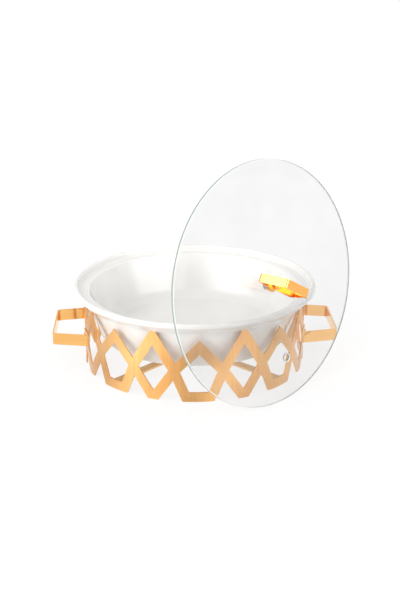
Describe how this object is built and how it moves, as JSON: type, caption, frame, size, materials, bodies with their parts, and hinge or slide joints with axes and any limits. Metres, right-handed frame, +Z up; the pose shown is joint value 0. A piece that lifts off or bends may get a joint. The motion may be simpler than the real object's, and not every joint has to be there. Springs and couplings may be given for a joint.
{
  "type": "chafing dish food warmer",
  "caption": "Round ceramic serving dish hung by its lip in an openwork gold band with side handles, over a tealight, with a flat glass lid leaning on it.",
  "frame": {"origin": "on the table under the centre of the band", "axes": "+Z up, -Y to the front, handles on +X and -X"},
  "size_m": [0.3862, 0.3928, 0.297],
  "materials": {
    "brushed_gold": "gold-plated, brushed along the strips",
    "satin_gold": "gold-plated, satin",
    "polished_gold": "gold-plated, polished",
    "white_glaze": "white gloss glaze",
    "clear_glass": "clear tempered, ground edge",
    "clear_silicone": "translucent matte",
    "candle_aluminium": "thin drawn foil",
    "candle_wax": "waxy",
    "cotton_wick": "braided cotton"
  },
  "bodies": {
    "stand": {"burner_holder": "brushed_gold", "burner_holder_rivet": "satin_gold", "cross_bar_lower": "brushed_gold", "cross_bar_upper": "brushed_gold", "diamond_frame_1": "brushed_gold", "diamond_frame_2": "brushed_gold", "diamond_frame_3": "brushed_gold", "diamond_frame_4": "brushed_gold", "diamond_frame_5": "brushed_gold", "diamond_frame_6": "brushed_gold", "diamond_frame_7": "brushed_gold", "diamond_frame_8": "brushed_gold", "handle_left": "brushed_gold", "handle_right": "brushed_gold", "handle_rivets_left": "satin_gold", "handle_rivets_right": "satin_gold", "pentagon_frame_1": "brushed_gold", "pentagon_frame_2": "brushed_gold", "pentagon_frame_3": "brushed_gold", "pentagon_frame_4": "brushed_gold", "pentagon_frame_5": "brushed_gold", "pentagon_frame_6": "brushed_gold", "pentagon_frame_7": "brushed_gold", "pentagon_frame_8": "brushed_gold"},
    "dish": {"dish": "white_glaze"},
    "lid": {"lid_ball": "polished_gold", "lid_cap_nut": "polished_gold", "lid_glass": "clear_glass", "lid_ring": "polished_gold", "lid_screw": "polished_gold", "lid_washer_over": "clear_silicone", "lid_washer_under": "clear_silicone"},
    "tealight": {"tealight_cup": "candle_aluminium", "tealight_wax": "candle_wax", "wick_sustainer": "candle_aluminium", "tealight_wick": "cotton_wick"}
  },
  "joints": [
    {"name": "dish_lift", "type": "slide", "parent": "stand", "child": "dish", "axis": [0, 0, 1], "range_m": [0, 0.07]},
    {"name": "lid_lift", "type": "slide", "parent": "dish", "child": "lid", "axis": [0, 0, 1], "range_m": [0, 0.12]},
    {"name": "tealight_lift", "type": "slide", "parent": "stand", "child": "tealight", "axis": [0, 0, 1], "range_m": [0, 0.0048]}
  ]
}
